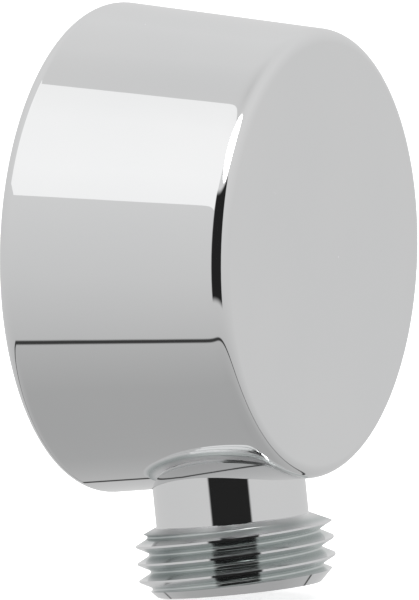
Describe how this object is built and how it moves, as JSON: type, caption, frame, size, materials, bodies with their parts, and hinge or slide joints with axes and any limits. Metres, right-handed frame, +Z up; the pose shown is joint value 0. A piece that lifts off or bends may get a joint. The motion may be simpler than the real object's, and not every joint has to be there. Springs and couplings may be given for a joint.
{
  "type": "shower wall outlet elbow",
  "caption": "Round tapered chrome wall outlet elbow with a threaded inlet at the back and a threaded hose nipple below, holding a spring-loaded non-return valve.",
  "frame": {"origin": "centre of the wall face, on the inlet axis", "axes": "+Z up, +Y into the wall along the inlet axis, the front disc faces -Y, the outlet points down and a little forward"},
  "size_m": [0.0512, 0.0254, 0.0619],
  "materials": {
    "chrome_body": "polished",
    "chrome_nipple": "polished",
    "gasket_rubber": "matte",
    "ring_rubber": "satin",
    "housing_plastic": "satin",
    "guide_plastic": "satin",
    "poppet_plastic": "satin",
    "spring_steel": "satin"
  },
  "bodies": {
    "root": {"body": "chrome_body", "wall_gasket": "gasket_rubber", "outlet_nipple": "chrome_nipple", "nipple_o_ring": "ring_rubber", "valve_housing": "housing_plastic", "housing_o_ring": "ring_rubber", "valve_guide": "guide_plastic", "valve_spring": "spring_steel"},
    "poppet": {"valve_poppet": "poppet_plastic", "poppet_seal": "ring_rubber"}
  },
  "joints": [
    {"name": "poppet_lift", "type": "slide", "parent": "root", "child": "poppet", "axis": [0, -0.097, -0.9953], "range_m": [0, 0.0022], "stiffness_N_per_m": 60, "springref_m": -0.0015, "deforming": ["valve_spring"]}
  ]
}
